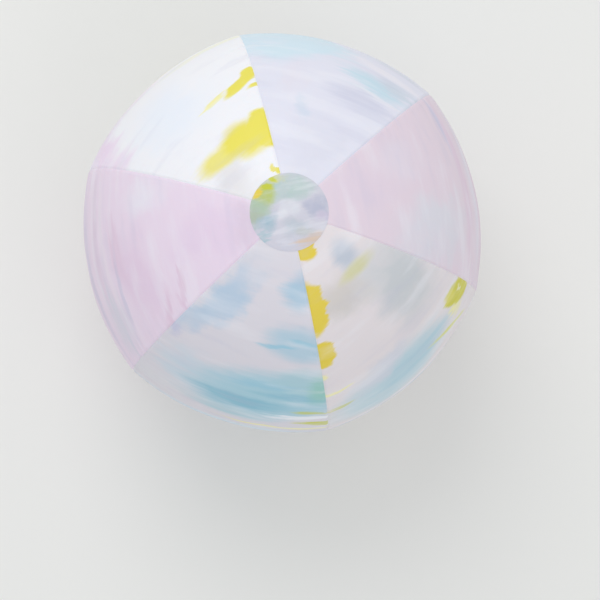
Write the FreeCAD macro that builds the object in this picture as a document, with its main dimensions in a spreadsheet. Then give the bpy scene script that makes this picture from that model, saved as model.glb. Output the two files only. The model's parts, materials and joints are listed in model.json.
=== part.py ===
import FreeCAD, Part
import os
import re

import Sketcher
from FreeCAD import Placement, Rotation, Vector

# Inflatable beach ball, blown up. Millimetres and degrees.
#
# The row frame has its origin at the ball's centre. +Z is the polar axis, through the middle of the
# printed front disc. Gore 1 is centred on +X, the next five follow every 60 degrees about +Z, and
# the seams lie halfway between them.
#
# The valve has a frame of its own: its origin is on the ball's outer surface, its +Z is the valve's
# axis, pointing out of the ball, and its +X points to the side where the plug's strap is.

DIMENSIONS = {
    # The blown-up ball. A gore is cut from flat film, so it stays flatter across its width than the
    # ball is, and the seams stand a little proud of a sphere.
    "gore_count": 6,
    "ball_radius": 172.5,
    "gore_cross_radius": 212.0,
    "gore_band_half": 100.0,
    "film": 0.25,
    "seam_allowance": 3.0,
    "tip_radius": 20.0,
    # The round discs over the gore tips.
    "disc_radius": 32.0,
    "disc_gap": 0.2,
    # Where the valve is: in one gore, this far from the rear pole.
    "valve_from_pole": 36.0,
    # The ring welded inside the film, and the film's hole in front of it.
    "flange_hole_radius": 9.0,
    "flange_radius": 19.0,
    "flange_thick": 0.8,
    "weld_gap": 0.05,
    "film_hole_radius": 9.4,
    # The folding web between the ring and the stem's foot.
    "web_thick": 0.5,
    "web_top_depth": 0.8,
    "web_bottom_depth": 13.2,
    "web_gap": 0.02,
    # The stem, pushed in as it is when the ball is in use.
    "stem_proud": 2.6,
    "stem_length": 16.1,
    "stem_radius": 5.2,
    "rim_radius": 6.3,
    "rim_deep": 2.2,
    "rim_round": 0.5,
    "foot_radius": 5.7,
    "foot_deep": 1.6,
    "plug_bore_radius": 3.45,
    "plug_bore_deep": 5.2,
    "nozzle_bore_radius": 3.0,
    "air_hole_radius": 2.2,
    "air_hole_deep": 1.2,
    # The plug. Its shank tapers so that it swings out on its strap without rubbing.
    "plug_gap": 0.05,
    "shank_radius": 3.4,
    "shank_tip_radius": 2.8,
    "shank_length": 4.6,
    "core_radius": 1.6,
    "core_deep": 3.5,
    "head_radius": 6.3,
    "head_thick": 1.8,
    "head_round": 0.5,
    "tab_length": 5.5,
    "tab_width": 5.0,
    "tab_thick": 1.0,
    "tab_lift": 0.4,
    "tab_round": 2.0,
    "ridge_count": 3,
    "ridge_pitch": 1.4,
    "ridge_width": 0.5,
    "ridge_tall": 0.3,
    # The strap, folded back on itself like a U. The fold's centre is the plug's hinge.
    "fold_offset": 14.0,
    "fold_drop": 0.5,
    "fold_inner_radius": 0.6,
    "strap_thick": 0.8,
    "strap_width": 3.2,
    "strap_root": 5.0,
    "strap_gap": 0.02,
    # The check flap under the foot.
    "flap_radius": 3.9,
    "flap_thick": 0.5,
    "flap_gap": 0.02,
    "flap_hinge_offset": 4.6,
    "flap_root_width": 3.6,
}

# The valve is in the third gore, counted from zero here.
VALVE_GORE = 2

doc = FreeCAD.newDocument("BeachBall")
sheet = doc.addObject("Spreadsheet::Sheet", "Sheet")
for row, (alias, size) in enumerate(DIMENSIONS.items(), start=1):
    sheet.set(f"A{row}", alias)
    sheet.set(f"B{row}", str(size))
    sheet.setAlias(f"B{row}", alias)
doc.recompute()

# A hidden object that works out an expression, for the places where a number is needed.
gauge = doc.addObject("App::FeaturePython", "Gauge")
gauge.addProperty("App::PropertyFloat", "reading")


def with_cells(text):
    """Writes each dimension's name in an expression as its cell in the sheet."""
    return re.sub(r"[a-z_]+", lambda word: f"Sheet.{word[0]}" if word[0] in DIMENSIONS else word[0], text)


def number(text):
    """What an expression of the dimensions comes to."""
    gauge.setExpression("reading", with_cells(text))
    gauge.recompute()
    return gauge.reading


def bind(thing, **sizes):
    """Binds an object's properties to expressions of the dimensions."""
    for name, text in sizes.items():
        thing.setExpression(name, with_cells(text))


# ---------------------------------------------------------------- sketches and features


def new_body(label):
    body = doc.addObject("PartDesign::Body", label)
    body.Label = label
    return body


def new_sketch(body, name, plane, lift="0"):
    """A sketch on one of the body's own origin planes, lifted along the plane's normal."""
    sketch = body.newObject("Sketcher::SketchObject", name)
    own_plane = next(item for item in body.Origin.OriginFeatures if item.Role == plane)
    sketch.AttachmentSupport = (own_plane, [""])
    sketch.MapMode = "FlatFace"
    sketch.setExpression("AttachmentOffset.Base.z", with_cells(lift))
    return sketch


def hold_point(sketch, side, end, across, up):
    """Holds one end of a side, or with end 3 an arc's centre, at two expressions."""
    for kind, text in (("DistanceX", across), ("DistanceY", up)):
        if text is not None:
            index = sketch.addConstraint(Sketcher.Constraint(kind, side, end, number(text)))
            sketch.setExpression(f"Constraints[{index}]", with_cells(text))


def side_curve(start, finish, arc):
    """A straight side, or a round one when arc is (centre across, centre up, turn).

    turn is 1 where the side runs anticlockwise round the centre and -1 where it runs clockwise.
    """
    if arc is None:
        return Part.LineSegment(start, finish)
    centre = Vector(number(arc[0]), number(arc[1]), 0)
    if arc[2] < 0:
        start, finish = finish, start
    circle = Part.Circle(centre, Vector(0, 0, 1), (start - centre).Length)
    return Part.ArcOfCircle(circle, circle.parameter(start), circle.parameter(finish))


def draw_outline(sketch, corners, arcs=None):
    """Draws a closed outline through corners, each a pair of expressions.

    arcs gives the round sides by number, counted from the side that leaves the first corner.
    """
    arcs = arcs or {}
    points = [Vector(number(across), number(up), 0) for across, up in corners]
    ends = []
    for side, start in enumerate(points):
        finish = points[(side + 1) % len(points)]
        arc = arcs.get(side)
        sketch.addGeometry(side_curve(start, finish, arc))
        ends.append((2, 1) if arc and arc[2] < 0 else (1, 2))
    for side, (across, up) in enumerate(corners):
        after = (side + 1) % len(points)
        sketch.addConstraint(Sketcher.Constraint("Coincident", side, ends[side][1], after, ends[after][0]))
        hold_point(sketch, side, ends[side][0], across, up)
    for side, arc in arcs.items():
        # The two ends already hold the centre on the line midway between them.
        chord = points[(side + 1) % len(points)] - points[side]
        steep = abs(chord.y) > abs(chord.x)
        hold_point(sketch, side, 3, arc[0] if steep else None, None if steep else arc[1])
    return sketch


def draw_circle(sketch, radius):
    """Draws a circle about the sketch's origin."""
    sketch.addGeometry(Part.Circle(Vector(), Vector(0, 0, 1), number(radius)))
    sketch.addConstraint(Sketcher.Constraint("Coincident", 0, 3, -1, 1))
    index = sketch.addConstraint(Sketcher.Constraint("Radius", 0, number(radius)))
    sketch.setExpression(f"Constraints[{index}]", with_cells(radius))
    return sketch


def revolve(body, name, sketch):
    """Turns a sketch a full circle about its own upright axis."""
    feature = body.newObject("PartDesign::Revolution", name)
    feature.Profile = sketch
    feature.ReferenceAxis = (sketch, ["V_Axis"])
    feature.Angle = 360
    return feature


def pad(body, name, sketch, length, symmetric=True):
    feature = body.newObject("PartDesign::Pad", name)
    feature.Profile = sketch
    feature.SideType = "Symmetric" if symmetric else "One side"
    bind(feature, Length=length)
    return feature


def round_edges(body, name, radius, chosen):
    """Rounds the edges of the body's shape that chosen picks out."""
    doc.recompute()
    base = body.Tip
    edges = [f"Edge{i}" for i, edge in enumerate(base.Shape.Edges, start=1) if chosen(edge)]
    if not edges:
        raise ValueError(f"{name} found no edge to round")
    feature = body.newObject("PartDesign::Fillet", name)
    feature.Base = (base, edges)
    bind(feature, Radius=radius)
    return feature


def is_circle(edge, radius, height):
    """Whether an edge is a circle of this radius about the body's Z axis, at this height."""
    curve = edge.Curve
    if not isinstance(curve, Part.Circle):
        return False
    return abs(curve.Radius - number(radius)) < 1e-4 and abs(curve.Center.z - number(height)) < 1e-4


def is_line_along(edge, axis, across, up):
    """Whether an edge runs straight along Y or Z at this X.

    One along Y must be at this Z; one along Z must be at this Y, on either side.
    """
    ends = [vertex.Point for vertex in edge.Vertexes]
    if len(ends) < 2 or (ends[1] - ends[0]).normalize().cross(axis).Length > 1e-6:
        return False
    middle = (ends[0] + ends[1]) * 0.5
    other = middle.z if axis.y else abs(middle.y)
    return abs(middle.x - number(across)) < 1e-4 and abs(other - number(up)) < 1e-4


# ---------------------------------------------------------------- gores


def gore_band(label, outer, inner):
    """A barrel-shaped band about the Y axis, between two arcs that share the gore's cross centre."""
    body = new_body(label)
    centre = "ball_radius - gore_cross_radius"
    corners = []
    for radius, side in ((outer, "-"), (outer, ""), (inner, ""), (inner, "-")):
        reach = f"{centre} + sqrt(({radius})^2 - gore_band_half^2)"
        corners.append((reach, f"{side}gore_band_half"))
    arcs = {0: (centre, "0", 1), 2: (centre, "0", -1)}
    sketch = draw_outline(new_sketch(body, f"{label}_outline", "XY_Plane"), corners, arcs)
    revolve(body, f"{label}_turned", sketch)
    return body


def seam_slab(label, turn):
    """A thin upright slab on the seam plane that is turned this way from the gore's middle."""
    slab = doc.addObject("Part::Box", label)
    bind(slab, Length="ball_radius * 1.1", Width="film * 2", Height="ball_radius * 2.2")
    angle = f"({turn} * 180 / gore_count)"
    bind(slab, **{
        "Placement.Base.x": f"film * sin({angle})",
        "Placement.Base.y": f"-film * cos({angle})",
        "Placement.Base.z": "-ball_radius * 1.1",
        "Placement.Rotation.Angle": angle,
    })
    return slab


def combine(kind, label, *shapes):
    """A boolean of two or more shapes: Part::Cut takes a base and a tool, the others take a list."""
    result = doc.addObject(kind, label)
    if kind == "Part::Cut":
        result.Base, result.Tool = shapes
    else:
        result.Shapes = list(shapes)
    return result


def centred_cylinder(label, radius, through=True):
    """A cylinder about the Z axis, through the whole ball or from its centre outwards."""
    cylinder = doc.addObject("Part::Cylinder", label)
    bind(cylinder, Radius=radius, Height="ball_radius * 2.2" if through else "ball_radius * 1.1")
    if through:
        cylinder.setExpression("Placement.Base.z", with_cells("-ball_radius * 1.1"))
    return cylinder


def make_gores():
    """The gores, each with a seam allowance turned in along both edges to meet its neighbours."""
    film_band = gore_band("film_band", "gore_cross_radius", "gore_cross_radius - film")
    deep_band = gore_band("deep_band", "gore_cross_radius - film / 2", "gore_cross_radius - seam_allowance")
    first_slab = seam_slab("seam_slab_1", -1)
    second_slab = seam_slab("seam_slab_2", 1)
    slabs = combine("Part::MultiFuse", "seam_slabs", first_slab, second_slab)
    ribs = combine("Part::MultiCommon", "seam_ribs", deep_band, slabs)
    film = combine("Part::MultiFuse", "ribbed_band", film_band, ribs)

    wedge = centred_cylinder("gore_wedge", "ball_radius * 1.1")
    bind(wedge, Angle="360 / gore_count")
    bind(wedge, **{"Placement.Rotation.Angle": "-180 / gore_count"})
    blank = combine("Part::MultiCommon", "gore_blank", film, wedge)

    tip_cutter = centred_cylinder("tip_cutter", "tip_radius")
    hole_cutter = centred_cylinder("valve_hole_cutter", "film_hole_radius", through=False)
    hole_cutter.Placement = Placement(Vector(), Rotation(Vector(0, 1, 0), 180 - sheet.valve_from_pole))
    tip_and_hole = combine("Part::MultiFuse", "tip_and_hole_cutter", tip_cutter, hole_cutter)

    gores = []
    for index in range(int(sheet.gore_count)):
        cutter = tip_and_hole if index == VALVE_GORE else tip_cutter
        gore = combine("Part::Cut", f"gore_panel_{index + 1}", blank, cutter)
        gore.Placement = gore_turn(index)
        gores.append(gore)
    return gores


def gore_turn(index):
    """The turn about the polar axis that takes gore 1 to another gore's place."""
    return Placement(Vector(), Rotation(Vector(0, 0, 1), index * 360 / sheet.gore_count))


# ---------------------------------------------------------------- round film pieces


def sphere_piece(label, from_radius, to_radius, outer, thick, centre="0"):
    """A disc or ring cut from a spherical skin whose centre is on the Z axis."""
    body = new_body(label)
    corners = []
    for across, radius in (
        (from_radius, f"({outer} - {thick})"),
        (to_radius, f"({outer} - {thick})"),
        (to_radius, f"({outer})"),
        (from_radius, f"({outer})"),
    ):
        corners.append((across, f"{centre} + sqrt({radius}^2 - ({across})^2)"))
    arcs = {0: ("0", centre, -1), 2: ("0", centre, 1)}
    sketch = draw_outline(new_sketch(body, f"{label}_outline", "XZ_Plane"), corners, arcs)
    revolve(body, f"{label}_turned", sketch)
    return body


def make_end_discs():
    """The discs over the gore tips: the printed front one at +Z and the plain rear one at -Z."""
    outer = "ball_radius + disc_gap + film"
    front = sphere_piece("front_end_disc", "0", "disc_radius", outer, "film")
    rear = sphere_piece("rear_end_disc", "0", "disc_radius", outer, "film")
    rear.Placement = Placement(Vector(), Rotation(Vector(1, 0, 0), 180))
    return [front, rear]


# ---------------------------------------------------------------- valve, in its own frame

MOUTH = "stem_proud"
FOOT = "(stem_proud - stem_length)"
HEAD_UNDER = "(stem_proud + plug_gap)"
FOLD_HEIGHT = "(stem_proud - fold_drop)"


def make_flange():
    outer = "ball_radius - film - weld_gap"
    return sphere_piece(
        "valve_flange", "flange_hole_radius", "flange_radius", outer, "flange_thick", "-ball_radius"
    )


def make_diaphragm():
    """The thin cone of film from the ring's hole down to the stem's foot."""
    body = new_body("valve_diaphragm")
    corners = [
        ("foot_radius + web_gap", "-web_bottom_depth"),
        ("foot_radius + web_gap + web_thick", "-web_bottom_depth"),
        ("flange_hole_radius - web_gap", "-web_top_depth"),
        ("flange_hole_radius - web_gap - web_thick", "-web_top_depth"),
    ]
    revolve(body, "web_turned", draw_outline(new_sketch(body, "web_outline", "XZ_Plane"), corners))
    return body


def make_stem():
    """The mouthpiece: rim bead outside, plug bore and nozzle bore within, foot with an air hole inside."""
    body = new_body("valve_stem")
    corners = [
        ("plug_bore_radius", MOUTH),
        ("plug_bore_radius", f"{MOUTH} - plug_bore_deep"),
        ("nozzle_bore_radius", f"{MOUTH} - plug_bore_deep"),
        ("nozzle_bore_radius", f"{FOOT} + air_hole_deep"),
        ("air_hole_radius", f"{FOOT} + air_hole_deep"),
        ("air_hole_radius", FOOT),
        ("foot_radius", FOOT),
        ("foot_radius", f"{FOOT} + foot_deep"),
        ("stem_radius", f"{FOOT} + foot_deep"),
        ("stem_radius", f"{MOUTH} - rim_deep"),
        ("rim_radius", f"{MOUTH} - rim_deep"),
        ("rim_radius", MOUTH),
    ]
    revolve(body, "stem_turned", draw_outline(new_sketch(body, "stem_outline", "XZ_Plane"), corners))
    round_edges(body, "rim_rounded", "rim_round", lambda edge: is_circle(edge, "rim_radius", MOUTH))
    return body


def make_plug():
    """The stopper: a hollow tapered shank, a round head, and a pull tab with grip ridges."""
    body = new_body("valve_plug")
    tip = f"{MOUTH} - shank_length"
    head_top = f"{HEAD_UNDER} + head_thick"
    corners = [
        ("core_radius", tip),
        ("shank_tip_radius", tip),
        ("shank_radius", HEAD_UNDER),
        ("head_radius", HEAD_UNDER),
        ("head_radius", head_top),
        ("0", head_top),
        ("0", f"{tip} + core_deep"),
        ("core_radius", f"{tip} + core_deep"),
    ]
    revolve(body, "plug_turned", draw_outline(new_sketch(body, "plug_outline", "XZ_Plane"), corners))
    round_edges(body, "head_rounded", "head_round", lambda edge: is_circle(edge, "head_radius", head_top))

    tab_end = "-(head_radius + tab_length)"
    tab_under = f"{HEAD_UNDER} + tab_lift"
    tab_top = f"{tab_under} + tab_thick"
    tab_corners = [
        (tab_end, tab_under),
        ("-core_radius", tab_under),
        ("-core_radius", tab_top),
        (tab_end, tab_top),
    ]
    tab = draw_outline(new_sketch(body, "tab_outline", "XZ_Plane"), tab_corners)
    pad(body, "tab_pad", tab, "tab_width")
    upright = Vector(0, 0, 1)
    round_edges(
        body, "tab_rounded", "tab_round", lambda edge: is_line_along(edge, upright, tab_end, "tab_width / 2")
    )

    ridge_start = f"{tab_end} + ridge_pitch"
    ridge_corners = [
        (ridge_start, f"{tab_top} - ridge_tall"),
        (f"{ridge_start} + ridge_width", f"{tab_top} - ridge_tall"),
        (f"{ridge_start} + ridge_width", f"{tab_top} + ridge_tall"),
        (ridge_start, f"{tab_top} + ridge_tall"),
    ]
    ridge_outline = draw_outline(new_sketch(body, "ridge_outline", "XZ_Plane"), ridge_corners)
    ridge = pad(body, "ridge_pad", ridge_outline, "tab_width * 0.6")
    ridges = body.newObject("PartDesign::LinearPattern", "ridge_row")
    ridges.Originals = [ridge]
    ridges.Direction = (ridge_outline, ["H_Axis"])
    bind(ridges, Length="ridge_pitch * (ridge_count - 1)", Occurrences="ridge_count")
    body.Tip = ridges
    return body


def make_strap():
    """The strap, a flat U on its side, trimmed to the round of the rim and the head."""
    body = new_body("plug_strap")
    lower = "fold_inner_radius + strap_thick"
    levels = {
        "bottom": f"{FOLD_HEIGHT} - ({lower})",
        "inner_bottom": f"{FOLD_HEIGHT} - fold_inner_radius",
        "inner_top": f"{FOLD_HEIGHT} + fold_inner_radius",
        "top": f"{FOLD_HEIGHT} + {lower}",
    }
    corners = [
        ("strap_root", levels["bottom"]),
        ("fold_offset", levels["bottom"]),
        ("fold_offset", levels["top"]),
        ("strap_root", levels["top"]),
        ("strap_root", levels["inner_top"]),
        ("fold_offset", levels["inner_top"]),
        ("fold_offset", levels["inner_bottom"]),
        ("strap_root", levels["inner_bottom"]),
    ]
    arcs = {1: ("fold_offset", FOLD_HEIGHT, 1), 5: ("fold_offset", FOLD_HEIGHT, -1)}
    sketch = draw_outline(new_sketch(body, "strap_outline", "XZ_Plane"), corners, arcs)
    pad(body, "strap_pad", sketch, "strap_width")
    circle = draw_circle(new_sketch(body, "strap_trim_outline", "XY_Plane"), "rim_radius + strap_gap")
    trim = body.newObject("PartDesign::Pocket", "strap_trim")
    trim.Profile = circle
    trim.Type = "ThroughAll"
    trim.SideType = "Symmetric"
    return body


def make_check_flap():
    """The flap: a round of film under the foot's air hole, with a root that bends along a straight line."""
    body = new_body("check_flap")
    root_end = "-(flap_hinge_offset + flap_thick / 2)"
    neck = "-sqrt(flap_radius^2 - flap_root_width^2 / 4)"
    corners = [
        (root_end, "-flap_root_width / 2"),
        (neck, "-flap_root_width / 2"),
        (neck, "flap_root_width / 2"),
        (root_end, "flap_root_width / 2"),
    ]
    lift = f"{FOOT} - flap_gap - flap_thick"
    sketch = new_sketch(body, "flap_outline", "XY_Plane", lift)
    draw_outline(sketch, corners, {1: ("0", "0", 1)})
    pad(body, "flap_pad", sketch, "flap_thick", symmetric=False)
    sideways = Vector(0, 1, 0)
    heights = (lift, f"{lift} + flap_thick")
    round_edges(
        body,
        "root_rounded",
        "flap_thick / 2 - 0.01",
        lambda edge: any(is_line_along(edge, sideways, root_end, height) for height in heights),
    )
    return body


def make_valve():
    pieces = [make_flange(), make_diaphragm(), make_stem(), make_strap(), make_plug(), make_check_flap()]
    tilt = Placement(Vector(), Rotation(Vector(0, 1, 0), 180 - sheet.valve_from_pole))
    out_to_skin = Placement(Vector(0, 0, sheet.ball_radius), Rotation())
    for piece in pieces:
        piece.Placement = gore_turn(VALVE_GORE) * tilt * out_to_skin
    return pieces


# ---------------------------------------------------------------- build, check and write

sub_parts = make_gores() + make_end_discs() + make_valve()
doc.recompute()

for item in doc.Objects:
    if "Invalid" in item.State or "Error" in item.State:
        raise RuntimeError(f"{item.Label} failed: {item.State}")
for sub_part in sub_parts:
    shape = sub_part.Shape
    if shape.isNull() or not shape.isValid() or len(shape.Solids) != 1:
        raise RuntimeError(f"{sub_part.Label} isn't one valid solid")

os.makedirs("parts", exist_ok=True)
for sub_part in sub_parts:
    sub_part.Shape.exportStep(f"parts/{sub_part.Label}.step")
    print(sub_part.Label, round(sub_part.Shape.Volume, 2), "mm3")
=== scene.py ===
import json
import math

import bmesh
import bpy
import numpy as np
from mathutils import Matrix, Vector


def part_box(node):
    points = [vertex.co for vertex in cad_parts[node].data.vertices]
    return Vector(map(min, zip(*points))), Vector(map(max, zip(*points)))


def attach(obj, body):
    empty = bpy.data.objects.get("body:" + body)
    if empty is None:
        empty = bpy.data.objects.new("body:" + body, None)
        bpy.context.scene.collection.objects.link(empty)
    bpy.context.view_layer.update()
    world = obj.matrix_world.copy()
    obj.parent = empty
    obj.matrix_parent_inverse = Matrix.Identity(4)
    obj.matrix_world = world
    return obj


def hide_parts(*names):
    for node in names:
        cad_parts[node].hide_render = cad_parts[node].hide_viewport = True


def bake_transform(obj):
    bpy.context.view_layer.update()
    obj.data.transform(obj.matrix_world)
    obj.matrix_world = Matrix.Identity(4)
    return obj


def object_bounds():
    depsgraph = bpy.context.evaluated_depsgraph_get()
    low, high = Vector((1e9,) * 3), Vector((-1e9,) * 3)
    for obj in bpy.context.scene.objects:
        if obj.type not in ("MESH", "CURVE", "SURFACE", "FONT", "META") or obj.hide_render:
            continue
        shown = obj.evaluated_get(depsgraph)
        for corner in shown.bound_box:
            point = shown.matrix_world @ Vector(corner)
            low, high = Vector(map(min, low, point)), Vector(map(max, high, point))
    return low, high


# Inflatable beach ball. Everything is in metres, in the CAD model's own frame: the origin is the ball's
# centre, +Z is the polar axis through the printed front disc, and gore 1 is centred on +X.
# Lengths that belong to the film's print and to the valve's pieces are given in millimetres.

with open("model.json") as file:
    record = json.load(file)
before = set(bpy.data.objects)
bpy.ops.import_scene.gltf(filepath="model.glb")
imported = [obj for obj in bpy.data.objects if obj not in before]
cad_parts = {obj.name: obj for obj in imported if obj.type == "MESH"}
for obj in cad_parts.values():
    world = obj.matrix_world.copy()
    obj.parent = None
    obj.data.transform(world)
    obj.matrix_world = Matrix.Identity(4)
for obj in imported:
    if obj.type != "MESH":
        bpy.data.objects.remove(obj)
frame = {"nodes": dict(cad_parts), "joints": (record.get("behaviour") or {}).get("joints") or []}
cad_low, cad_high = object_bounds()

MM = 0.001
GORES = 6
HALF_GORE = math.pi / GORES
WHOLE_GORE = 2 * HALF_GORE

# The ball, from the frame.
BALL_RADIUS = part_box("gore_panel_1")[1].x
SEAM_RADIUS = cad_high.y
DISC_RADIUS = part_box("front_end_disc")[1].x
FILM = 0.25 * MM

# A gore's arc across its width passes through its middle and both its seams.
SEAM_X = SEAM_RADIUS * math.cos(HALF_GORE)
SEAM_Y = SEAM_RADIUS * math.sin(HALF_GORE)
CROSS_RADIUS = ((BALL_RADIUS - SEAM_X) ** 2 + SEAM_Y**2) / (2 * (BALL_RADIUS - SEAM_X))
CROSS_CENTRE = BALL_RADIUS - CROSS_RADIUS

# The valve's frame: origin on the ball's surface, Z out of the ball, X towards the plug's strap.
JOINTS = {joint["name"]: joint for joint in frame["joints"]}
VALVE_Z = Vector(JOINTS["valve_pop_out"]["axis"]).normalized()
VALVE_Y = Vector(JOINTS["plug_swing"]["axis"]).normalized()
VALVE_X = VALVE_Y.cross(VALVE_Z)
VALVE_AT = VALVE_Z * BALL_RADIUS
VALVE_FRAME = Matrix.Translation(VALVE_AT) @ Matrix((VALVE_X, VALVE_Y, VALVE_Z)).transposed().to_4x4()

# The valve is in the third gore, counted from zero here.
VALVE_GORE = 2


# ---------------------------------------------------------------- small tools

# How close two points of a lathe or a disc have to be to be merged into one.
LATHE_WELD = 0.002 * MM
DISC_WELD = 0.001 * MM

# Faces that meet at more than this angle keep a crisp edge between them.
CRISP_ANGLE = math.radians(38)


def smooth_step(value, low, high):
    """0 below low, 1 above high, and a smooth rise between them."""
    share = np.clip((value - low) / (high - low), 0.0, 1.0)
    return share * share * (3.0 - 2.0 * share)


def bell(off, width):
    """1 in the middle, and a smooth fall to nothing a few widths off."""
    return np.exp(-((off / width) ** 2))


def linear(red, green, blue):
    """A colour as the eye reads it, in the linear light that shaders take."""
    parts = []
    for part in (red, green, blue):
        parts.append(part / 12.92 if part <= 0.04045 else ((part + 0.055) / 1.055) ** 2.4)
    return (*parts, 1.0)


def shade_smooth(mesh):
    mesh.polygons.foreach_set("use_smooth", [True] * len(mesh.polygons))


def keep_edges_crisp(piece):
    """Smooth shading everywhere but across the piece's real edges."""
    shade_smooth(piece.data)
    piece.data.set_sharp_from_angle(angle=CRISP_ANGLE)


def new_object(name, points, faces):
    """A new object in the scene, with smooth shading."""
    mesh = bpy.data.meshes.new(name)
    mesh.from_pydata([tuple(point) for point in points], [], faces)
    mesh.validate()
    shade_smooth(mesh)
    made = bpy.data.objects.new(name, mesh)
    bpy.context.scene.collection.objects.link(made)
    return made


def face_outwards(piece, weld=0.0):
    """Turns a closed piece's faces outwards, once points within the weld's reach have been merged."""
    shell = bmesh.new()
    shell.from_mesh(piece.data)
    if weld:
        bmesh.ops.remove_doubles(shell, verts=shell.verts, dist=weld)
    bmesh.ops.recalc_face_normals(shell, faces=shell.faces)
    shell.to_mesh(piece.data)
    shell.free()
    shade_smooth(piece.data)


def combine(piece, other, operation):
    """Joins another piece to this one or cuts it out, and deletes it."""
    cut = piece.modifiers.new("combine", "BOOLEAN")
    cut.operation = operation
    cut.solver = "EXACT"
    cut.object = other
    graph = bpy.context.evaluated_depsgraph_get()
    final = bpy.data.meshes.new_from_object(piece.evaluated_get(graph))
    piece.modifiers.clear()
    piece.data = final
    shade_smooth(final)
    bpy.data.objects.remove(other)


def coat(piece, material):
    """Gives a piece one material and no other."""
    piece.data.materials.clear()
    piece.data.materials.append(material)


def tube_faces(rings, ring_size, closed_ends=True):
    """Quads between neighbouring rings of points, with a face over each end."""
    faces = []
    for ring in range(rings - 1):
        first, second = ring * ring_size, (ring + 1) * ring_size
        for step in range(ring_size):
            after = (step + 1) % ring_size
            faces.append((first + step, first + after, second + after, second + step))
    if closed_ends:
        faces.append(tuple(range(ring_size)))
        faces.append(tuple(range((rings - 1) * ring_size, rings * ring_size)))
    return faces


def in_valve_frame(x, y, z):
    """A place given in millimetres in the valve's frame."""
    return VALVE_FRAME @ (Vector((x, y, z)) * MM)


def lathe(name, profile, segments=72):
    """A ring or solid turned about the valve's axis from a closed profile of (radius, height)."""
    points, faces = [], []
    count = len(profile)
    for turn in range(segments):
        angle = 2 * math.pi * turn / segments
        for radius, height in profile:
            points.append(in_valve_frame(radius * math.cos(angle), radius * math.sin(angle), height))
        here, there = turn * count, (turn + 1) % segments * count
        for step in range(count):
            after = (step + 1) % count
            faces.append((here + step, there + step, there + after, here + after))
    made = new_object(name, points, faces)
    face_outwards(made, LATHE_WELD)
    return made


def rounded(corners, steps=5):
    """A closed outline from corners given as (x, y, round), with each corner eased over its own round."""
    places = [np.array(corner[:2], float) for corner in corners]
    outline = []
    for index, here in enumerate(places):
        radius = corners[index][2]
        if radius == 0:
            outline.append(tuple(here))
            continue
        before = places[index - 1] - here
        after = places[(index + 1) % len(places)] - here
        start = here + before / np.linalg.norm(before) * radius
        end = here + after / np.linalg.norm(after) * radius
        for step in range(steps + 1):
            share = step / steps
            outline.append(tuple((1 - share) ** 2 * start + 2 * share * (1 - share) * here + share**2 * end))
    return outline


# ---------------------------------------------------------------- the film's shape

# Every row of a gore has the same columns, close together by the seams, where the film puckers. Their
# gaps from the seam are in millimetres.
ROW_STEP = 1.8 * MM
COLUMN_GAPS = [0.0, 0.35, 0.85, 1.6, 2.7, 4.3, 6.4, 9.0, 12.2]
COLUMN_STEP = 3.9
TIP_RADIUS = 22 * MM

# The welded seam: its turned-in allowance, and the groove along it, which fades towards the front pole.
SEAM_ALLOWANCE = 3.0 * MM
SEAM_GROOVE = 0.85 * MM
SEAM_GROOVE_WIDE = 1.0 * MM
GROOVE_FULL_TURN = 0.3

# Short creases that run from a seam into the gores on both its sides, between two places along it. Their
# spacing, depth and length are in millimetres, and each is drawn from its range.
CREASE_SEED = 100
CREASE_FROM, CREASE_TO = 45 * MM, 497 * MM
CREASE_GAP = (6.0, 15.0)
CREASE_DEEP = (0.25, 1.05)
CREASE_LONG = (10.0, 58.0)
CREASE_SHORTER = (0.4, 1.0)
CREASE_LEAN = (-0.10, 0.10)
CREASE_WIDE = 1.7 * MM
CREASE_SPREAD = 0.06
CREASE_FADE = 1.3
# The film stands up a little on both sides of a crease: how much of its depth, how many widths off.
CREASE_SHOULDER = 0.30
SHOULDER_OFF = 1.9

# The slight unevenness of blown-up film: broad waves, their lengths in millimetres, which die out near
# the seams.
SWELL_SEED = 40
SWELL_WAVES = 7
SWELL_LONG = (55, 130)
SWELL_HEIGHT = 0.10 * MM
SWELL_FROM_SEAM = (2 * MM, 25 * MM)

# The welded ring round the valve, seen through the film, with its line of weld. The film is refined and
# lies calm round the ring.
RING_RADIUS = 19.0 * MM
RING_RAISED = 0.35 * MM
RING_EDGE = (RING_RADIUS - 1.2 * MM, RING_RADIUS + 1.0 * MM)
RING_REFINED = 1.35 * RING_RADIUS
RING_WELD_RADIUS = 14.5 * MM
RING_WELD_WIDE = 1.3 * MM
RING_WELD_DEEP = 0.18 * MM
CALM_FROM_VALVE = (20 * MM, 38 * MM)
# The hole, in millimetres, and half the height of the punch that cuts it.
HOLE_RADIUS = 9.4
HOLE_PUNCH_HALF = 8.0

# An end disc: its mesh, the seams that show through it, its weld line and its eased rim.
DISC_RINGS, DISC_SPOKES = 44, 144
SHOWN_SEAM = 0.16 * MM
SHOWN_SEAM_WIDE = 0.9 * MM
SHOWN_SEAM_FROM = (6 * MM, 20 * MM)
DISC_WELD_RADIUS = DISC_RADIUS - 3.4 * MM
DISC_WELD_WIDE = 0.9 * MM
DISC_WELD_DEEP = 0.10 * MM
RIM_FROM = DISC_RADIUS - 2.2 * MM
RIM_DROP = 0.20 * MM


def half_width(turn):
    """A gore's half width, measured along its own Y, at an angle about that axis from the front pole."""
    lean = np.sin(turn) * math.tan(HALF_GORE)
    a = 1 + 1 / lean**2
    b = -2 * CROSS_CENTRE / lean
    c = CROSS_CENTRE**2 - CROSS_RADIUS**2
    return (-b + np.sqrt(b * b - 4 * a * c)) / (2 * a)


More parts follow.
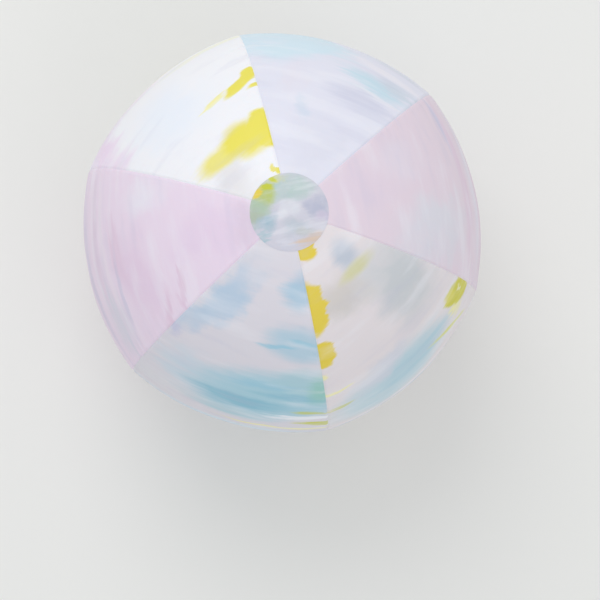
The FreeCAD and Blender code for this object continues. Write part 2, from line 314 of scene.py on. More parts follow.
def gore_points(turn, side, lift):
    """Points of a gore, from the angle about its own Y axis, the Y, and the lift off its surface."""
    climb = np.arcsin(side / CROSS_RADIUS)
    reach = CROSS_CENTRE + (CROSS_RADIUS + lift) * np.cos(climb)
    return np.stack([reach * np.sin(turn), (CROSS_RADIUS + lift) * np.sin(climb), reach * np.cos(turn)], -1)


def seam_creases(seam):
    """The creases along one seam: where, how deep, how long on each side, and how they lean."""
    chance = np.random.default_rng(CREASE_SEED + seam)
    creases = []
    place = CREASE_FROM
    while place < CREASE_TO:
        depth = chance.uniform(*CREASE_DEEP) * MM * math.sin(place / BALL_RADIUS) ** 2
        lengths = chance.uniform(*CREASE_LONG, size=2) * chance.uniform(*CREASE_SHORTER) * MM
        creases.append((place, depth, lengths, chance.uniform(*CREASE_LEAN, size=2)))
        place += chance.uniform(*CREASE_GAP) * MM
    return creases


def crease_lift(along, gap, creases, side):
    """How far the creases of one seam pull the film in. gap is the distance from that seam."""
    lift = np.zeros_like(along)
    for place, depth, lengths, leans in creases:
        off = (along - place - leans[side] * gap) / (CREASE_WIDE + CREASE_SPREAD * gap)
        fade = np.clip(1 - gap / lengths[side], 0, 1) ** CREASE_FADE
        lift -= depth * fade * bell(off, 1.0)
        lift += CREASE_SHOULDER * depth * fade * bell(np.abs(off) - SHOULDER_OFF, 1.0)
    return lift


def slow_swell(along, across, seed):
    """The slow swell of one gore, from a few broad waves."""
    chance = np.random.default_rng(seed)
    lift = np.zeros_like(along)
    for _ in range(SWELL_WAVES):
        heading = chance.uniform(0, math.pi)
        length = chance.uniform(*SWELL_LONG) * MM
        phase = chance.uniform(0, 2 * math.pi)
        run = along * math.cos(heading) + across * math.sin(heading)
        lift += SWELL_HEIGHT * np.sin(2 * math.pi * run / length + phase)
    return lift


def turned(point, steps):
    """A point turned about the polar axis by a number of gores."""
    return Matrix.Rotation(steps * WHOLE_GORE, 3, "Z") @ Vector(point)


def allowance_edge(points):
    """The inner edge of a seam allowance, which goes in from the seam's points towards the ball's centre."""
    return (points - points / np.linalg.norm(points, axis=-1, keepdims=True) * SEAM_ALLOWANCE)[:, None]


def build_gore(index, creases):
    """One gore as a closed skin of film: its outside, its inside and both turned-in seam allowances."""
    tip_turn = math.asin(TIP_RADIUS / BALL_RADIUS)
    rows = round((math.pi - 2 * tip_turn) * BALL_RADIUS / ROW_STEP)
    turns = np.linspace(tip_turn, math.pi - tip_turn, rows)
    widest = half_width(np.array([math.pi / 2]))[0]
    gaps = COLUMN_GAPS + list(np.arange(COLUMN_GAPS[-1] + COLUMN_STEP, widest / MM, COLUMN_STEP))
    shares = 1 - np.array(gaps) * MM / widest
    shares = np.concatenate([-shares, shares[::-1]])

    turn = np.repeat(turns[:, None], len(shares), 1)
    wide = half_width(turns)[:, None]
    side = shares[None, :] * wide
    along = turn * BALL_RADIUS
    gap_low = (1 + shares[None, :]) * wide
    gap_high = (1 - shares[None, :]) * wide
    near = np.minimum(gap_low, gap_high)

    lift = crease_lift(along, gap_low, creases[(index - 1) % GORES], 1)
    lift += crease_lift(along, gap_high, creases[index], 0)
    swell = slow_swell(along, side, SWELL_SEED + index)
    lift += swell * np.sin(turn) ** 2 * smooth_step(near, *SWELL_FROM_SEAM)
    if index == VALVE_GORE:
        local_valve = np.array(turned(VALVE_AT, -index))
        away = np.linalg.norm(gore_points(turn, side, 0.0) - local_valve, axis=-1)
        lift *= smooth_step(away, *CALM_FROM_VALVE)
    lift -= SEAM_GROOVE * bell(near, SEAM_GROOVE_WIDE) * smooth_step(turn, 0.0, GROOVE_FULL_TURN)

    outside = gore_points(turn, side, lift)
    trim = (wide - FILM) / wide
    inside = gore_points(turn, side * trim, lift - FILM)[:, ::-1]
    high = [allowance_edge(outside[:, -1]), allowance_edge(inside[:, 0])]
    low = [allowance_edge(inside[:, -1]), allowance_edge(outside[:, 0])]
    loop = np.concatenate([outside, *high, inside, *low], 1)
    made = new_object(f"gore_film_{index + 1}", loop.reshape(-1, 3), tube_faces(rows, loop.shape[1]))
    face_outwards(made)
    return made


def raise_valve_ring(gore):
    """Refines the film round the valve and lifts it over the welded ring, then cuts the valve's hole."""
    mesh = bmesh.new()
    mesh.from_mesh(gore.data)
    close = [edge for edge in mesh.edges if (edge.verts[0].co - VALVE_AT).length < RING_REFINED]
    bmesh.ops.subdivide_edges(mesh, edges=close, cuts=2, use_grid_fill=True)
    for vertex in mesh.verts:
        offset = vertex.co - VALVE_AT
        off_axis = (offset - VALVE_Z * offset.dot(VALVE_Z)).length
        if offset.length < RING_REFINED:
            raised = RING_RAISED * (1 - smooth_step(off_axis, *RING_EDGE))
            weld = RING_WELD_DEEP * bell(off_axis - RING_WELD_RADIUS, RING_WELD_WIDE)
            vertex.co += VALVE_Z * (raised - weld)
    mesh.to_mesh(gore.data)
    mesh.free()
    reach = HOLE_PUNCH_HALF
    punch = lathe("valve_hole_punch", [(0, -reach), (HOLE_RADIUS, -reach), (HOLE_RADIUS, reach), (0, reach)])
    combine(gore, punch, "DIFFERENCE")


def disc_height(radius, seam_gap):
    """How high a disc's outside stands at a radius and at a distance from the nearest seam."""
    lift = SHOWN_SEAM * bell(seam_gap, SHOWN_SEAM_WIDE) * smooth_step(radius, *SHOWN_SEAM_FROM)
    lift -= DISC_WELD_DEEP * bell(radius - DISC_WELD_RADIUS, DISC_WELD_WIDE)
    lift -= RIM_DROP * smooth_step(radius, RIM_FROM, DISC_RADIUS)
    return math.sqrt(cad_high.z**2 - radius**2) + lift


def build_disc(name, upside):
    """A round film disc over the gore tips. upside puts it at the rear pole."""
    flip = Matrix.Rotation(math.pi if upside else 0.0, 3, "X")
    points = []
    for skin in (0.0, -FILM):
        for ring in range(DISC_RINGS + 1):
            radius = DISC_RADIUS * (ring / DISC_RINGS)
            for spoke in range(DISC_SPOKES):
                angle = 2 * math.pi * spoke / DISC_SPOKES
                seam_gap = abs(angle % WHOLE_GORE - HALF_GORE) * radius
                height = disc_height(radius, seam_gap) + skin
                points.append(flip @ Vector((radius * math.cos(angle), radius * math.sin(angle), height)))
    skin_faces = tube_faces(DISC_RINGS + 1, DISC_SPOKES, closed_ends=False)
    layer = (DISC_RINGS + 1) * DISC_SPOKES
    faces = skin_faces + [tuple(layer + corner for corner in face) for face in skin_faces]
    rim = DISC_RINGS * DISC_SPOKES
    for spoke in range(DISC_SPOKES):
        after = (spoke + 1) % DISC_SPOKES
        faces.append((rim + spoke, rim + after, layer + rim + after, layer + rim + spoke))
    made = new_object(name, points, faces)
    face_outwards(made, DISC_WELD)
    return made


# ---------------------------------------------------------------- the print, with painted shade round the front pole

# The step between two films in the noise that their prints are drawn from.
FILM_STEP = 37.0


def vertex_places(mesh):
    places = np.zeros(len(mesh.vertices) * 3)
    mesh.vertices.foreach_get("co", places)
    return places.reshape(-1, 3)


def store_film(mesh, across, along, sheet):
    """Stores where each point lies on its flat film, for the print."""
    film = mesh.attributes.new("film", "FLOAT_VECTOR", "POINT")
    layers = np.stack([across, along, np.full(len(across), FILM_STEP * sheet)], -1)
    film.data.foreach_set("vector", layers.astype(np.float32).ravel())


def mark_gore(piece, steps):
    """Stores a gore's own coordinates in millimetres: across it, and along it from the front pole."""
    places = vertex_places(piece.data)
    places /= np.linalg.norm(places, axis=1, keepdims=True)
    angle = -steps * WHOLE_GORE
    x = places[:, 0] * math.cos(angle) - places[:, 1] * math.sin(angle)
    y = places[:, 0] * math.sin(angle) + places[:, 1] * math.cos(angle)
    radius = BALL_RADIUS / MM
    store_film(piece.data, radius * np.arcsin(y), radius * np.arctan2(x, places[:, 2]), steps)


def mark_disc(piece):
    """Stores a disc's own coordinates in millimetres, from its middle."""
    places = vertex_places(piece.data) / MM
    store_film(piece.data, places[:, 0], places[:, 1], GORES + 1)


# How a dab's edge breaks up: in soft clouds, in brush marks across the gore, or only slightly.
WASHED, BRUSHED, CRISP = "washed", "brushed", "crisp"

# The colours that several dabs share, as the eye reads them.
LEMON = (0.93, 0.885, 0.36)
GOLD = (0.905, 0.815, 0.30)
PALE_LEMON = (0.96, 0.94, 0.62)
LIME = (0.80, 0.82, 0.30)
SKY = (0.62, 0.80, 0.875)
DEEP_SKY = (0.54, 0.75, 0.83)
PALE_SKY = (0.83, 0.905, 0.95)
DUSK = (0.77, 0.84, 0.905)
MIST = (0.82, 0.845, 0.885)
MAUVE = (0.81, 0.79, 0.88)
ROSE = (0.88, 0.77, 0.855)
BLUSH = (0.935, 0.86, 0.925)
MILK = (0.94, 0.925, 0.955)
WHITE = (0.955, 0.96, 0.98)
MINT = (0.60, 0.80, 0.76)
LILAC = (0.90, 0.88, 0.925)

# A dab of dye: its place along and across the gore, half its size along and across, its lean in degrees,
# its colour, how soft its edge is, how strong it is, and how its edge breaks up.
# Each print is its ground colour and its dabs. The dabs round the front pole that are a deeper tone of their
# gore's ground are print and painted shade together.
GORE_PRINTS_AND_SHADE = [
    # Gore 1, rose and mauve.
    (
        (0.90, 0.84, 0.885),
        [
            (140, -36, 46, 26, 0, (0.87, 0.865, 0.90), 0.8, 0.9, WASHED),
            # Deeper ground round the front pole: print tone and painted shade.
            (60, 8, 30, 18, 10, (0.89, 0.83, 0.885), 0.9, 0.7, WASHED),
            (110, 26, 24, 18, 0, LILAC, 0.9, 0.4, WASHED),
            (188, 60, 6, 26, -6, MAUVE, 0.8, 0.8, BRUSHED),
            (196, 10, 7, 66, 2, ROSE, 0.9, 0.55, BRUSHED),
            (222, 0, 9, 74, 3, LILAC, 0.9, 0.8, BRUSHED),
            (240, 10, 7, 70, 3, ROSE, 0.9, 0.5, BRUSHED),
            (292, 24, 26, 50, -8, BLUSH, 0.8, 0.8, WASHED),
            (326, -38, 20, 44, 6, ROSE, 0.7, 0.8, BRUSHED),
            (356, -70, 13, 20, -12, LEMON, 0.3, 0.95, CRISP),
            (350, -44, 4, 20, -4, PALE_LEMON, 0.7, 0.9, BRUSHED),
            (392, 20, 34, 34, 0, MIST, 0.8, 0.8, WASHED),
            (440, -14, 16, 26, 12, DUSK, 0.7, 0.8, BRUSHED),
            (478, 8, 12, 16, 0, BLUSH, 0.8, 0.9, WASHED),
        ],
    ),
    # Gore 2, lavender white with sky.
    (
        (0.895, 0.895, 0.945),
        [
            # Deeper ground round the front pole: print tone and painted shade.
            (62, 0, 34, 22, 0, (0.87, 0.87, 0.92), 0.9, 0.8, WASHED),
            (200, 48, 50, 56, -8, PALE_SKY, 0.4, 1.0, WASHED),
            (176, 26, 6, 40, -3, PALE_SKY, 0.8, 0.7, BRUSHED),
            (120, 30, 22, 14, 0, LILAC, 0.9, 0.6, WASHED),
            (92, 16, 8, 7, 0, DUSK, 0.9, 0.45, WASHED),
            (122, -32, 16, 26, 14, (0.825, 0.83, 0.90), 0.9, 0.8, BRUSHED),
            (152, -38, 14, 30, 14, (0.77, 0.87, 0.92), 0.9, 0.95, BRUSHED),
            (164, -62, 12, 16, 6, (0.80, 0.84, 0.89), 0.9, 0.8, BRUSHED),
            (136, -48, 4, 22, 10, MILK, 0.8, 0.6, BRUSHED),
            (186, -48, 8, 34, 8, MILK, 0.8, 0.8, BRUSHED),
            (214, -56, 6, 26, 6, MIST, 0.9, 0.6, BRUSHED),
            (264, 20, 16, 60, -5, DUSK, 0.7, 0.7, BRUSHED),
            (304, -34, 28, 46, 8, (0.70, 0.84, 0.90), 0.7, 0.85, BRUSHED),
            (318, -46, 6, 30, 4, DEEP_SKY, 0.8, 0.6, BRUSHED),
            (342, 40, 24, 34, 0, MILK, 0.8, 0.9, WASHED),
            (384, -14, 22, 38, -10, PALE_SKY, 0.6, 0.9, WASHED),
            (436, 10, 22, 28, 0, BLUSH, 0.8, 0.7, WASHED),
        ],
    ),
    # Gore 3, near white with lemon.
    (
        (0.955, 0.955, 0.975),
        [
            # Deeper ground round the front pole: print tone and painted shade.
            (46, 16, 22, 20, 0, (0.905, 0.895, 0.90), 0.9, 0.9, WASHED),
            (150, 14, 38, 34, 0, (0.925, 0.945, 0.985), 0.9, 0.9, WASHED),
            (236, 72, 38, 22, 0, (0.93, 0.865, 0.94), 0.8, 0.95, BRUSHED),
            (160, 68, 12, 18, 0, (0.935, 0.88, 0.945), 0.9, 0.85, BRUSHED),
            (196, 72, 34, 15, 0, (0.935, 0.855, 0.94), 0.9, 0.9, WASHED),
            (222, -60, 10, 44, 0, (0.955, 0.955, 0.87), 0.8, 0.9, BRUSHED),
            (244, 24, 14, 40, 0, BLUSH, 0.9, 0.6, BRUSHED),
            (73, 10, 10, 23, 5, (0.94, 0.90, 0.46), 0.6, 0.95, CRISP),
            (72, -15, 17.5, 20, 12, LEMON, 0.5, 1.0, CRISP),
            (68, -36, 19, 15, 20, LEMON, 0.2, 1.0, CRISP),
            (122, -48, 6, 20, -16, LEMON, 0.35, 1.0, CRISP),
            (128, -60, 8, 10, -10, LEMON, 0.3, 1.0, CRISP),
            (123, -22, 3, 16, -6, PALE_LEMON, 0.6, 0.9, BRUSHED),
            (111, -56, 2.5, 8, 0, LEMON, 0.5, 0.95, CRISP),
            (34, -15, 6, 2.8, 0, LEMON, 0.4, 1.0, CRISP),
            (247, -54, 4, 50, 0, PALE_LEMON, 0.7, 0.9, BRUSHED),
            (304, -24, 26, 46, -6, PALE_SKY, 0.7, 0.8, WASHED),
            (350, 34, 22, 50, 5, WHITE, 0.7, 0.9, BRUSHED),
            (362, -66, 20, 18, -16, LEMON, 0.25, 1.0, CRISP),
            (368, -38, 9, 20, -4, LEMON, 0.5, 0.95, CRISP),
            (372, -14, 4, 20, -4, PALE_LEMON, 0.7, 0.9, BRUSHED),
            (452, 22, 14, 26, 0, BLUSH, 0.8, 0.8, WASHED),
        ],
    ),
    # Gore 4, blush and lavender.
    (
        (0.925, 0.86, 0.925),
        [
            (128, -44, 28, 20, 0, (0.925, 0.91, 0.95), 0.9, 0.9, WASHED),
            # These two, deeper ground round the front pole: print tone and painted shade.
            (70, 4, 28, 20, 0, (0.905, 0.825, 0.91), 0.9, 0.85, WASHED),
            (38, 0, 14, 16, 0, (0.875, 0.81, 0.88), 0.9, 0.9, WASHED),
            (150, 20, 24, 30, 0, (0.90, 0.81, 0.895), 0.9, 0.8, WASHED),
            (106, 40, 4, 15, 26, ROSE, 0.9, 0.7, BRUSHED),
            (130, 54, 5, 20, 24, ROSE, 0.9, 0.7, BRUSHED),
            (172, -4, 8, 34, -4, (0.89, 0.79, 0.87), 0.9, 0.8, BRUSHED),
            (180, 32, 4, 40, 8, MAUVE, 0.9, 0.6, BRUSHED),
            (193, -12, 5, 56, 0, (0.93, 0.89, 0.93), 0.9, 0.7, BRUSHED),
            (208, -22, 7, 62, 3, (0.87, 0.80, 0.875), 0.9, 0.75, BRUSHED),
            (204, 54, 18, 28, 0, (0.85, 0.845, 0.895), 0.9, 0.8, BRUSHED),
            (240, 10, 9, 70, -2, MAUVE, 0.9, 0.55, BRUSHED),
            (292, -30, 28, 46, 6, MILK, 0.8, 0.8, WASHED),
            (330, 34, 20, 42, -8, DUSK, 0.7, 0.75, BRUSHED),
            (392, -8, 26, 38, 4, ROSE, 0.8, 0.6, BRUSHED),
            (440, 14, 16, 26, 0, MILK, 0.8, 0.8, WASHED),
        ],
    ),
    # Gore 5, sky blue.
    (
        (0.875, 0.86, 0.89),
        [
            (92, -36, 46, 14, 35, (0.735, 0.81, 0.885), 0.8, 0.95, WASHED),
            (130, -62, 12, 8, 0, (0.79, 0.79, 0.88), 0.9, 0.8, WASHED),
            (61, 28, 15, 13, 0, (0.69, 0.80, 0.875), 0.8, 0.95, CRISP),
            (107, 44, 17, 31, 0, (0.72, 0.82, 0.88), 0.6, 0.95, CRISP),
            (104, 46, 3, 14, -10, SKY, 0.9, 0.8, BRUSHED),
            (113, 24, 2, 16, -8, SKY, 0.8, 0.9, BRUSHED),
            (176, -44, 26, 30, 8, (0.80, 0.86, 0.905), 0.8, 0.85, BRUSHED),
            (180, 26, 36, 62, -4, (0.70, 0.83, 0.885), 0.5, 0.95, CRISP),
            (176, 36, 30, 44, -3, (0.655, 0.815, 0.87), 0.8, 0.95, BRUSHED),
            (150, 56, 18, 24, 0, (0.69, 0.82, 0.86), 0.7, 0.9, CRISP),
            (188, 10, 7, 40, 2, DEEP_SKY, 0.9, 0.85, BRUSHED),
            (160, 18, 4, 30, -4, SKY, 0.9, 0.8, BRUSHED),
            (172, 50, 5, 30, 0, DEEP_SKY, 0.9, 0.7, BRUSHED),
            (218, -64, 18, 26, 0, (0.875, 0.87, 0.895), 0.9, 0.9, BRUSHED),
            (214, -2, 13, 40, 2, (0.69, 0.82, 0.865), 0.8, 0.9, BRUSHED),
            (198, 4, 6, 32, 0, DEEP_SKY, 0.9, 0.85, BRUSHED),
            (156, 72, 20, 12, 0, MINT, 0.9, 0.9, CRISP),
            (195, 74, 2.5, 16, 4, LIME, 0.6, 0.8, BRUSHED),
            (206, 62, 4.5, 26, 0, WHITE, 0.6, 0.9, BRUSHED),
            (222, 80, 6, 22, 2, LIME, 0.5, 0.95, BRUSHED),
            (238, 52, 3.5, 52, 1, PALE_LEMON, 0.6, 0.9, BRUSHED),
            (262, 0, 14, 80, 0, PALE_SKY, 0.8, 0.8, BRUSHED),
            (316, -34, 26, 44, 6, MILK, 0.8, 0.9, WASHED),
            (354, 34, 28, 36, -6, (0.69, 0.83, 0.885), 0.6, 0.9, CRISP),
            (360, 30, 8, 30, -2, DEEP_SKY, 0.9, 0.85, BRUSHED),
            (414, -12, 24, 30, 0, DUSK, 0.7, 0.8, WASHED),
            (466, 6, 14, 20, 0, MILK, 0.8, 0.8, WASHED),
        ],
    ),
    # Gore 6, mauve grey with gold.
    (
        (0.91, 0.88, 0.89),
        [
            # These three, deeper and greyer round the front pole: print tone and painted shade.
            (112, 34, 42, 30, 0, (0.80, 0.815, 0.83), 0.9, 0.95, WASHED),
            (90, 0, 14, 24, 0, (0.84, 0.845, 0.855), 0.9, 0.6, WASHED),
            (80, -14, 20, 22, 0, (0.835, 0.81, 0.79), 0.9, 0.85, WASHED),
            (56, 11, 13, 11, 0, (0.76, 0.79, 0.84), 0.9, 0.95, CRISP),
            (72, 12, 5.5, 17, 0, (0.84, 0.83, 0.65), 0.9, 0.9, CRISP),
            (208, -20, 36, 62, -10, (0.78, 0.86, 0.895), 0.6, 0.95, CRISP),
            (200, -2, 18, 40, -16, (0.70, 0.82, 0.87), 0.9, 0.95, BRUSHED),
            (178, -22, 12, 30, -12, (0.835, 0.84, 0.89), 0.9, 0.8, WASHED),
            (254, -30, 8, 60, -4, MILK, 0.8, 0.7, BRUSHED),
            (32, -12, 8, 8, 0, GOLD, 0.25, 1.0, CRISP),
            (76, -38, 25, 12, 26, GOLD, 0.2, 1.0, CRISP),
            (118, -56, 13, 11, 26, GOLD, 0.2, 1.0, CRISP),
            (137, -68, 4, 6, 0, PALE_LEMON, 0.8, 0.8, WASHED),
            (166, -66, 2.5, 16, 2, PALE_LEMON, 0.7, 0.9, BRUSHED),
            (194, -78, 4, 12, 2, LIME, 0.7, 0.8, BRUSHED),
            (183, 69, 15, 16, 6, (0.83, 0.81, 0.31), 0.2, 1.0, CRISP),
            (176, 60, 6, 8, 20, (0.87, 0.84, 0.34), 0.5, 0.9, CRISP),
            (181, 72, 6, 1.6, 30, (0.93, 0.92, 0.78), 0.8, 0.8, CRISP),
            (200, 54, 6, 12, 28, PALE_LEMON, 0.8, 0.8, BRUSHED),
            (216, 46, 3.5, 24, 24, (0.87, 0.87, 0.48), 0.7, 0.9, CRISP),
            (266, -20, 12, 60, 0, DUSK, 0.7, 0.8, BRUSHED),
            (310, 34, 22, 44, -6, BLUSH, 0.8, 0.8, WASHED),
            (336, -76, 24, 14, -20, GOLD, 0.2, 1.0, CRISP),
            (352, -52, 5, 18, -8, (0.90, 0.86, 0.55), 0.6, 0.9, BRUSHED),
            (386, -66, 11, 12, -26, GOLD, 0.2, 1.0, CRISP),
            (400, 10, 28, 34, 0, MILK, 0.8, 0.8, WASHED),
            (452, -10, 12, 22, 8, PALE_SKY, 0.7, 0.8, BRUSHED),
        ],
    ),
]

# The front disc's print. Its ground is deepened a little: its own tone, and painted shade over the front
# pole.
FRONT_PRINT_AND_SHADE = (
    (0.825, 0.82, 0.865),
    [
        (20, 2, 11, 20, 0, (0.725, 0.805, 0.79), 0.7, 0.95, WASHED),
        (2, 0, 7, 10, 20, (0.875, 0.88, 0.91), 0.9, 0.95, WASHED),
        (-15, 4, 7, 10, 0, (0.755, 0.785, 0.825), 0.9, 0.9, WASHED),
        (-20, 9, 4, 6, 0, (0.765, 0.775, 0.775), 0.9, 0.8, WASHED),
        (-26, 11, 4.5, 10, 12, (0.87, 0.78, 0.70), 0.8, 0.95, BRUSHED),
        (1, 22, 7, 9, 0, (0.735, 0.745, 0.82), 0.8, 0.95, WASHED),
        (-8, 27, 5, 6, 0, (0.80, 0.77, 0.85), 0.9, 0.8, WASHED),
        (-3, -20, 8, 10, 0, (0.635, 0.745, 0.80), 0.9, 0.95, WASHED),
        (3, -28, 9, 6, 0, (0.705, 0.75, 0.68), 0.9, 0.95, WASHED),
        (11, -23, 8, 8, 0, (0.695, 0.78, 0.68), 0.9, 0.95, WASHED),
        (20, -15, 7, 9, 0, (0.735, 0.785, 0.42), 0.9, 0.95, WASHED),
        (-17, -25, 9, 4, -25, (0.70, 0.785, 0.825), 0.8, 0.95, BRUSHED),
        (28, -3, 4, 7, 0, (0.84, 0.84, 0.62), 0.9, 0.9, WASHED),
        (28.5, -7, 1.8, 4, -33, LIME, 0.6, 1.0, CRISP),
        (24, -13, 2.6, 6, -24, (0.78, 0.80, 0.22), 0.6, 1.0, CRISP),
        (20.5, -22, 2.6, 6, 37, GOLD, 0.6, 1.0, CRISP),
    ],
)

REAR_PRINT = (
    (0.90, 0.89, 0.93),
    [
        (18, 10, 12, 14, 10, DUSK, 0.8, 0.9, WASHED),
        (-8, -20, 13, 12, -20, BLUSH, 0.8, 0.9, WASHED),
        (-20, 12, 9, 12, 0, (0.94, 0.92, 0.66), 0.7, 0.9, BRUSHED),
        (14, -16, 10, 10, 0, (0.735, 0.845, 0.835), 0.8, 0.85, WASHED),
        (0, 24, 9, 8, 0, MAUVE, 0.8, 0.8, WASHED),
    ],
)


class Nodes:
    """A short way to add and join shader nodes."""

    def __init__(self, name):
        self.material = bpy.data.materials.new(name)
        self.material.use_nodes = True
        self.tree = self.material.node_tree
        self.shader = self.tree.nodes["Principled BSDF"]

    def add(self, kind, inputs=None, **settings):
        node = self.tree.nodes.new(kind)
        for name, value in settings.items():
            setattr(node, name, value)
        for name, value in (inputs or {}).items():
            self.set(node.inputs[name], value)
        return node

    def set(self, socket, value):
        if isinstance(value, bpy.types.NodeSocket):
            self.tree.links.new(value, socket)
        else:
            socket.default_value = value

    def surface(self, **values):
        """Sets inputs of the main shader, whose names are given with _ for each space."""
        for name, value in values.items():
            self.set(self.shader.inputs[name.replace("_", " ")], value)

    def maths(self, operation, first, second=0.0):
        return self.add("ShaderNodeMath", {0: first, 1: second}, operation=operation).outputs[0]

    def vector(self, operation, first, second=(0.0, 0.0, 0.0)):
        node = self.add("ShaderNodeVectorMath", {0: first, 1: second}, operation=operation)
        return node.outputs["Value" if operation == "LENGTH" else "Vector"]

    def channel(self, colour, name):
        """One channel of a colour."""
        return self.add("ShaderNodeSeparateColor", {"Color": colour}).outputs[name]

    def noise(self, place, scale, detail=2.0, roughness=0.5):
        inputs = {"Vector": place, "Scale": scale, "Detail": detail, "Roughness": roughness}
        return self.add("ShaderNodeTexNoise", inputs).outputs["Color"]

    def stretched(self, place, scale):
        return self.vector("MULTIPLY", place, scale)

    def fade(self, value, low, high, out_low=0.0, out_high=1.0):
        inputs = {"Value": value, "From Min": low, "From Max": high, "To Min": out_low, "To Max": out_high}
        return self.add("ShaderNodeMapRange", inputs, interpolation_type="SMOOTHSTEP").outputs["Result"]

    def bump(self, height, strength, distance):
        inputs = {"Height": height, "Strength": strength, "Distance": distance}
        return self.add("ShaderNodeBump", inputs).outputs["Normal"]

    def mix(self, share, first, second):
        node = self.add("ShaderNodeMix", data_type="RGBA")
        for name, value in (("Factor_Float", share), ("A_Color", first), ("B_Color", second)):
            self.set(next(socket for socket in node.inputs if socket.identifier == name), value)
        return next(socket for socket in node.outputs if socket.identifier == "Result_Color")


# How far clouds, brush marks and hairs push each kind of edge, across and along the film.
EDGE_PUSHES = (
    (WASHED, (64.0, 50.0), (16.0, 5.0), (4.0, 0.6)),
    (BRUSHED, (34.0, 16.0), (62.0, 9.0), (20.0, 1.2)),
    (CRISP, (16.0, 15.0), (14.0, 4.0), (7.0, 0.8)),
)

# The discs' print is drawn finer than the gores'.
DISC_FINE = 0.4

STREAK_PALE = (0.95, 0.95, 0.975)
STREAK_DEEP = (0.74, 0.74, 0.84)


def dyed_and_shaded_film(name, base, dabs, fine=1.0):
    """Printed film: dabs of dye that run into each other, drawn out by streaks across the gore; the deeper
    dabs round the front pole are also painted shade.

    fine shrinks the streaks and clouds, for the small discs.
    """
    nodes = Nodes(name)
    film = nodes.add("ShaderNodeAttribute", attribute_name="film").outputs["Vector"]

    def centred(pattern):
        return nodes.vector("SUBTRACT", pattern, (0.5, 0.5, 0.5))

    def drawn_out(across, along):
        return nodes.stretched(film, (across / fine, along / fine, 1.0))

    # Slow clouds push the dye about both ways; brush marks pull it across.
    cloud = centred(nodes.noise(film, 0.024 / fine, 4.0, 0.55))
    bristle = centred(nodes.noise(drawn_out(0.012, 0.12), 1.0, 3.0, 0.55))
    hair = centred(nodes.noise(drawn_out(0.022, 0.42), 1.0, 2.0, 0.5))
    warps = {}
    for kind, *pushes in EDGE_PUSHES:
        place = film
        for pattern, (across, along) in zip((cloud, bristle, hair), pushes):
            push = nodes.stretched(pattern, (across * fine, along * fine, 0.0))
            place = nodes.vector("ADD", place, push)
        warps[kind] = place
    patchy = nodes.channel(cloud, "Blue")
    combed = nodes.channel(bristle, "Blue")
    thinned = {
        WASHED: nodes.fade(patchy, -0.12, 0.06, 0.72, 1.0),
        BRUSHED: nodes.fade(combed, -0.12, 0.06, 0.68, 1.0),
        CRISP: nodes.fade(patchy, -0.16, -0.06, 0.92, 1.0),
    }

    colour = linear(*base)
    # Each dab's colour is dye; the deeper dabs round the front pole are painted shade as well.
    for along, across, half_along, half_across, lean, dye_and_shade, soft, strength, edge in dabs:
        inputs = {
            "Vector": warps[edge],
            "Location": (across, along, 0.0),
            "Rotation": (0.0, 0.0, math.radians(lean)),
            "Scale": (half_across, half_along, 1.0),
        }
        spot = nodes.add("ShaderNodeMapping", inputs, vector_type="TEXTURE").outputs["Vector"]
        reach = nodes.vector("LENGTH", nodes.stretched(spot, (1.0, 1.0, 0.0)))
        share = nodes.fade(reach, 1.0 + soft * 0.6, 1.0 - soft * 0.75, 0.0, strength)
        colour = nodes.mix(nodes.maths("MULTIPLY", share, thinned[edge]), colour, linear(*dye_and_shade))

    # Watery streaks over the whole print, a little lighter and a little deeper.
    streak = nodes.channel(nodes.noise(drawn_out(0.014, 0.060), 1.0, 3.0, 0.5), "Green")
    colour = nodes.mix(nodes.fade(streak, 0.50, 0.72, 0.0, 0.30), colour, linear(*STREAK_PALE))
    colour = nodes.mix(nodes.fade(streak, 0.46, 0.28, 0.0, 0.14), colour, linear(*STREAK_DEEP))

    # Film is never quite flat: shallow ripples, and the finest draw lines of the rolled sheet.
    ripple = nodes.channel(nodes.noise(film, 0.055, 2.0, 0.5), "Red")
    draw = nodes.channel(hair, "Green")
    relief = nodes.maths("ADD", ripple, nodes.maths("MULTIPLY", draw, 0.10))
    nodes.surface(
        Base_Color=colour,
        Normal=nodes.bump(relief, 0.12, 0.6 * MM),
        Roughness=nodes.fade(ripple, 0.3, 0.7, 0.44, 0.54),
        IOR=1.50,
        Specular_IOR_Level=0.38,
        Subsurface_Weight=0.12,
        Subsurface_Radius=(0.004, 0.003, 0.0025),
    )
    return nodes.material


# The darkest part of moulded vinyl, as a share of its colour.
VINYL_DIM = 0.95


def vinyl(name, colour, roughness):
    """Soft moulded vinyl: a slightly uneven colour, a faint flow pattern and a satin skin."""
    nodes = Nodes(name)
    place = nodes.add("ShaderNodeTexCoord").outputs["Object"]
    flow = nodes.channel(nodes.noise(place, 320.0, 3.0, 0.55), "Red")
    grain = nodes.channel(nodes.noise(place, 1500.0, 2.0), "Red")
    dim = linear(*[part * VINYL_DIM for part in colour])
    nodes.surface(
        Base_Color=nodes.mix(nodes.fade(flow, 0.3, 0.7), dim, linear(*colour)),
        Roughness=nodes.fade(flow, 0.3, 0.7, roughness, roughness + 0.1),
        Normal=nodes.bump(grain, 0.08, 0.05 * MM),
        Subsurface_Weight=0.25,
        Subsurface_Radius=(0.003, 0.003, 0.003),
    )
    return nodes.material


# ---------------------------------------------------------------- the valve's pieces

# All in millimetres, in the valve's frame.
MOUTH = 2.6
FOOT = MOUTH - 16.1
BORE_FLOOR = MOUTH - 5.2
HEAD_UNDER = MOUTH + 0.05
HEAD_RADIUS = 6.3
BEAD_UNDER = MOUTH - 2.2

# The pull tab, and the grip ridges across it.
TAB_ROOT = -5.2
TAB_END = -(HEAD_RADIUS + 5.5)
TAB_LOW = HEAD_UNDER + 0.4
TAB_TOP = TAB_LOW + 1.0
RIDGES = 3
RIDGE_STEP = 1.4

